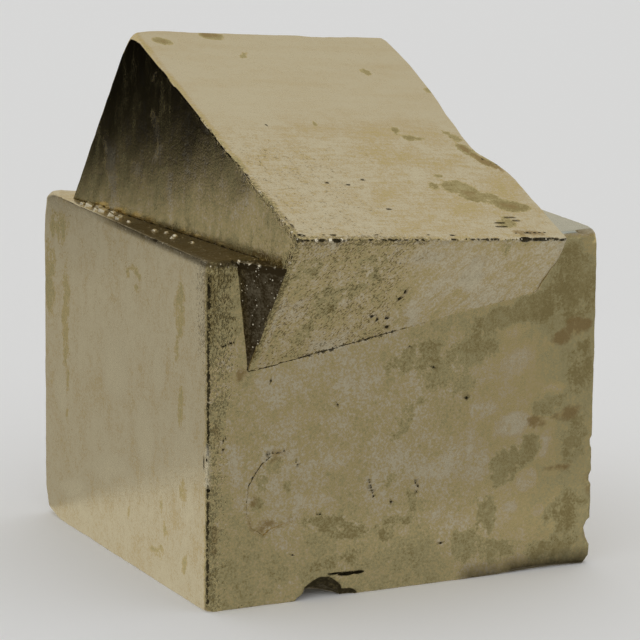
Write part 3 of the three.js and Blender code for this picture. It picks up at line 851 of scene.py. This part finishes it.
grain_layer = mesh.uv_layers.new(name="grain")
grain_layer.uv.foreach_set("vector", grain_map().astype(np.float32).ravel())
mesh.transform(Matrix.Scale(MM, 4) @ Matrix.Translation((-w / 2, -d / 2, 0)))
SHARP_FROM = np.radians(20)
mesh.shade_smooth()
mesh.set_sharp_from_angle(angle=SHARP_FROM)

# Pyrite has a pale brass metallic lustre. Its growth faces are satin, and years of air have
# tarnished them in olive and brown patches with a few rust spots. Fine pits, dirt in cracks and on
# worn edges, and painted shade in chips and along the foot look nearly black.
pyrite = bpy.data.materials.new("pyrite_tarnished")
pyrite.use_nodes = True
tree = pyrite.node_tree
shader = tree.nodes["Principled BSDF"]
SATIN_ROUGHNESS = 0.22
BUMP_DEPTH = 0.04 * MM


def linear(code):
    """An sRGB hex colour as linear red, green, blue and full alpha."""
    values = np.array([int(code[i:i + 2], 16) for i in (1, 3, 5)]) / 255
    curve = np.where(values <= 0.04045, values / 12.92, ((values + 0.055) / 1.055) ** 2.4)
    return (*curve, 1)


def add(kind, inputs=(), output=0, tree=tree, **settings):
    """A node with its settings, and its inputs by name or in order: each a value or another node's
    output. Gives one of its outputs."""
    made = tree.nodes.new("ShaderNode" + kind)
    for name, value in settings.items():
        setattr(made, name, value)
    for name, value in inputs.items() if isinstance(inputs, dict) else enumerate(inputs):
        if isinstance(value, bpy.types.NodeSocket):
            tree.links.new(value, made.inputs[name])
        else:
            made.inputs[name].default_value = value
    return made.outputs[output]


def weighed(*pairs, clamp=False):
    """The sum of values times weights, each a number or an output. clamp holds it from 0 to 1."""
    total = 0
    for value, weight in pairs:
        total = add("Math", (value, weight, total), operation="MULTIPLY_ADD")
    total.node.use_clamp = clamp
    return total


def sharpened(value, middle, steepness):
    """0 to 1, rising about the middle."""
    return weighed((value, steepness), (0.5 - middle * steepness, 1), clamp=True)


place = add("TexCoord", output="Object")
grain = add("UVMap", uv_map="grain")
long_streaks = add("Mapping", {"Vector": grain, "Scale": (1, 0.13, 1)})
long_pits = add("Mapping", {"Vector": grain, "Scale": (1, 0.6, 1)})

# Clouds are soft noise about zero: the size of their patches in mm, the detail, the roughness and
# the flat map that they follow, or none where they go through the solid.
CLOUDS = {
    "patches": (4.5, 6, 0.65, None), "mottle": (1, 5, 0.65, None), "speckle": (0.22, 3, 0.6, None),
    "crumble": (0.4, 3, 0.7, None), "streaks": (0.42, 3, 0.6, long_streaks),
    "runs": (1.7, 3, 0.6, long_streaks), "pocks": (0.2, 2, 0.5, long_pits),
}
clouds = {}
for name, (size, detail, rough, flat_map) in CLOUDS.items():
    vector, unit, dimensions = (flat_map, 1, "2D") if flat_map else (place, MM, "3D")
    inputs = {"Vector": vector, "Scale": 1 / (size * unit), "Detail": detail, "Roughness": rough}
    clouds[name] = weighed((add("TexNoise", inputs, noise_dimensions=dimensions), 1), (-0.5, 1))
patches, mottle, speckle, crumble, streaks, runs, pocks = clouds.values()
ragged = weighed((mottle, 1.9), (speckle, 0.6), (runs, 0.7))
kept = {name: add("Attribute", output="Fac", attribute_name=name) for name in kept_names}


def ragged_patch(name, middle, steepness):
    """A kept patch with a border broken up by noise."""
    patch = kept[name]
    return sharpened(weighed((patch, 1), (ragged, weighed((patch, 1.4)))), middle, steepness)


stained = ragged_patch("stain", 0.42, 4.0)
paled = ragged_patch("pale", 0.45, 3.5)
rusty = ragged_patch("rust", 0.5, 2.2)
level = weighed(
    (weighed((patches, 1), (mottle, 0.8), (speckle, 1.3)), kept["mottling"]),
    (streaks, weighed((kept["grained"], 0.4))), (runs, kept["streaked"]),
    (stained, kept["stain_depth"]), (paled, -0.17), (kept["tarnish_and_shading"], 1),
)
TARNISH = [
    (0.0, "#D4C9A9"), (0.3, "#CBBFA0"), (0.42, "#C3B28D"), (0.54, "#C1AE7A"),
    (0.7, "#B2A77C"), (0.85, "#A7996C"), (1.0, "#95865A"),
]
colour = add("ValToRGB", {"Fac": level})
steps = colour.node.color_ramp.elements
for position, _ in TARNISH[1:-1]:
    steps.new(position)
for step, (position, code) in zip(steps, TARNISH):
    step.position = position
    step.color = linear(code)

pits = sharpened(weighed((pocks, 1), (mottle, 0.7), (kept["pitting"], 0.4)), 0.57, 6)
edge_dirt = sharpened(weighed((kept["dirty"], 1), (crumble, 2.4)), 0.72, 4)
seam_dirt = sharpened(weighed((kept["rim"], 1), (crumble, 0.9)), 0.8, 5)
# Chips darkened with dirt and with painted shade in their hollows.
chip_dirt_and_shade = weighed((kept["chip"], weighed((crumble, 1), (1, 1))), clamp=True)
# Painted shade along the foot.
foot_shade = sharpened(weighed((kept["foot_shade_mask"], 1), (crumble, 0.3)), 0.68, 1.9)
dirt_and_shade = weighed((pits, 0.42))
for dirt in (edge_dirt, seam_dirt, chip_dirt_and_shade, foot_shade):
    dirt_and_shade = add("Math", (dirt_and_shade, dirt), operation="MAXIMUM")
uneven = weighed((mottle, 0.5), (speckle, 0.5), (1, 0.93))
notch_shade = weighed((kept["notch_shade"], uneven), clamp=True)

# Glints are painted highlights: bright dots, about a quarter of a millimetre apart and each of its
# own size.
GLINT_SPACING = 0.27 * MM
dots = add("TexVoronoi", {"Vector": place, "Scale": 1 / GLINT_SPACING}, "Color")
dot_size = add("Math", (add("SeparateColor", (dots,), output=1), 3), operation="POWER")
in_dot = weighed((dot_size, 0.42), (dots.node.outputs["Distance"], -1))
glints = weighed((weighed((in_dot, 6), clamp=True), kept["sparkle"]))
glints_and_fresh_break = add("Math", (glints, kept["crumb"]), operation="MAXIMUM")

# Coats over the tarnish: rust; dirt with painted shade in chips and along the foot; painted shade
# in the notch; a painted grey reflection on the top's right; painted highlights on crumbs and
# glints, with the pale fresh break.
COATS = [
    (weighed((rusty, 0.8)), "#937B50"), (weighed((dirt_and_shade, 0.92)), "#2B2518"), (notch_shade, "#3D3321"),
    (kept["painted_top_sheen"], "#A5ABA4"), (glints_and_fresh_break, "#E8DFC6"),
]
for cover, code in COATS:
    layers = {"Factor": cover, "A": colour, "B": linear(code)}
    colour = add("Mix", layers, "Result", data_type="RGBA")
smears = weighed((runs, 0.6), (patches, 0.7), (paled, 0.04), (1, -0.08))
roughness = weighed(
    (mottle, 0.3), (speckle, 0.25), (stained, 0.05), (paled, 0.08), (dirt_and_shade, 0.25), (glints_and_fresh_break, 0.08),
    (kept["rough"], 0.3), (smears, kept["polish"]), (SATIN_ROUGHNESS, 1), clamp=True,
)
height = weighed(
    (speckle, 0.25), (mottle, 0.5), (pits, -1.2), (dirt_and_shade, -0.6),
    (streaks, weighed((kept["grained"], 0.5))), (crumble, weighed((kept["sparkle"], 0.7))),
)
bump = add("Bump", {"Height": height, "Strength": 1.0, "Distance": BUMP_DEPTH})
shader.inputs["Metallic"].default_value = 1.0
shader.inputs["Specular Tint"].default_value = linear("#F1E9D6")
tree.links.new(colour, shader.inputs["Base Color"])
tree.links.new(roughness, shader.inputs["Roughness"])
tree.links.new(bump, shader.inputs["Normal"])

mesh.materials.clear()
mesh.materials.append(pyrite)

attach(specimen, "root")
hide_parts("pyrite_crystals")

# The floor is a plain sheet of pale matt paper, which scatters light evenly. It lies under the
# specimen, and the cards below stand for it in reflections.
FLOOR_HALF = 2.0
sides = ((-1, -1), (1, -1), (1, 1), (-1, 1))
floor_corners = [(FLOOR_HALF * i, FLOOR_HALF * j, 0) for i, j in sides]
floor = placed("floor", floor_corners, [(0, 1, 2, 3)])
paper = bpy.data.materials.new("pale_paper")
paper.use_nodes = True
paper_shader = paper.node_tree.nodes["Principled BSDF"]
paper_shader.inputs["Base Color"].default_value = linear("#EDEDEC")
paper_shader.inputs["Roughness"].default_value = 0.9
floor.data.materials.append(paper)
floor.visible_glossy = False

# Studio cards stand around the specimen, as in a light tent, and only show in its reflections. Each
# face of the crystals mirrors one card, and a dark card gives the upper crystal's left face its
# shade. The white world lights the rest.


def card(name, rows):
    """A flat card: a strip between rows, each two points in mm and the brightness there."""
    card_points = MM * np.array([point for first, second, _ in rows for point in (first, second)])
    strips = [(2 * i, 2 * i + 1, 2 * i + 3, 2 * i + 2) for i in range(len(rows) - 1)]
    made = placed(name, card_points, strips)
    shine = made.data.attributes.new("shine", "FLOAT", "POINT")
    shine.data.foreach_set("value", np.repeat([brightness for _, _, brightness in rows], 2))
    finish = bpy.data.materials.new(name)
    finish.use_nodes = True
    nodes, links = finish.node_tree.nodes, finish.node_tree.links
    nodes.remove(nodes["Principled BSDF"])
    strength = add("Attribute", output="Fac", tree=finish.node_tree, attribute_name="shine")
    glow = add("Emission", {"Strength": strength}, tree=finish.node_tree)
    links.new(glow, nodes["Material Output"].inputs["Surface"])
    made.data.materials.append(finish)
    for way in ("camera", "diffuse", "shadow", "transmission"):
        setattr(made, "visible_" + way, False)


FAR = 2000
FLOOR_LEVEL, LEFT_LEVEL, WEDGE_LEVEL = -0.4, -0.3, -0.35
FLOOR_SHINE, BACK_SHINE = 0.455, 0.52
rows = [((-FAR, end, FLOOR_LEVEL), (FAR, end, FLOOR_LEVEL)) for end in (-FAR, 0, FAR)]
card("floor_card", [(*row, FLOOR_SHINE) for row in rows[:2]])
card("back_card", [(*row, BACK_SHINE) for row in rows[1:]])
card("left_white_card", [
    ((-60, -24, LEFT_LEVEL), (-20, -24, LEFT_LEVEL), 0.73),
    ((-60, 33, LEFT_LEVEL), (-20, 21.5, LEFT_LEVEL), 0.73),
])
# Steps of the wedge's card go right, and of the dark card up: the place in mm and the brightness.
WEDGE_STEPS = [(0, 0.51), (20, 0.555), (30, 0.59), (50, 0.62)]
card("wedge_card", [
    ((across, -46, WEDGE_LEVEL), (across, -33, WEDGE_LEVEL), brightness)
    for across, brightness in WEDGE_STEPS
])
SHADE_STEPS = [
    (24, 0.48), (30, 0.44), (33, 0.31), (36, 0.14), (38, 0.065), (41, 0.025), (45, 0.012),
    (50, 0.006), (61, 0.004),
]
card("shade_card", [
    ((-75, 11.7, up + 11), (-32, 50.4, up - 6), brightness) for up, brightness in SHADE_STEPS
])
card("softbox", [((60, 120, 10), (240, -80, 10), 0.74), ((-60, 160, 400), (200, -80, 400), 0.74)])

WORLD_STRENGTH = 0.8
world = bpy.data.worlds.new("studio")
bpy.context.scene.world = world
world.use_nodes = True
background = world.node_tree.nodes["Background"]
background.inputs["Color"].default_value = linear("#FFFFFF")
background.inputs["Strength"].default_value = WORLD_STRENGTH

# The camera stands where the photograph was taken from. Its place, aim, roll and focal length were
# fitted to the corners of both crystals. Places are in mm and the roll is in degrees.
CAMERA_AT = Vector((-171.347, -344.433, 108.663)) * MM
AIM_AT = Vector((-0.843, -3.116, 23.837)) * MM
ROLL = 0.66
FOCAL_PIXELS, IMAGE_PIXELS = 3819.75, 640
SENSOR_WIDTH = 36
camera_data = bpy.data.cameras.new("camera")
camera_data.lens = FOCAL_PIXELS / IMAGE_PIXELS * SENSOR_WIDTH
camera_data.sensor_width = SENSOR_WIDTH
camera_data.clip_start = 0.01
camera = bpy.data.objects.new("camera", camera_data)
bpy.context.scene.collection.objects.link(camera)
aim = (AIM_AT - CAMERA_AT).to_track_quat("-Z", "Y").to_matrix().to_4x4()
roll = Matrix.Rotation(np.radians(ROLL), 4, "Z")
camera.matrix_world = Matrix.Translation(CAMERA_AT) @ aim @ roll
bpy.context.scene.camera = camera
bpy.context.scene.view_settings.view_transform = "Standard"
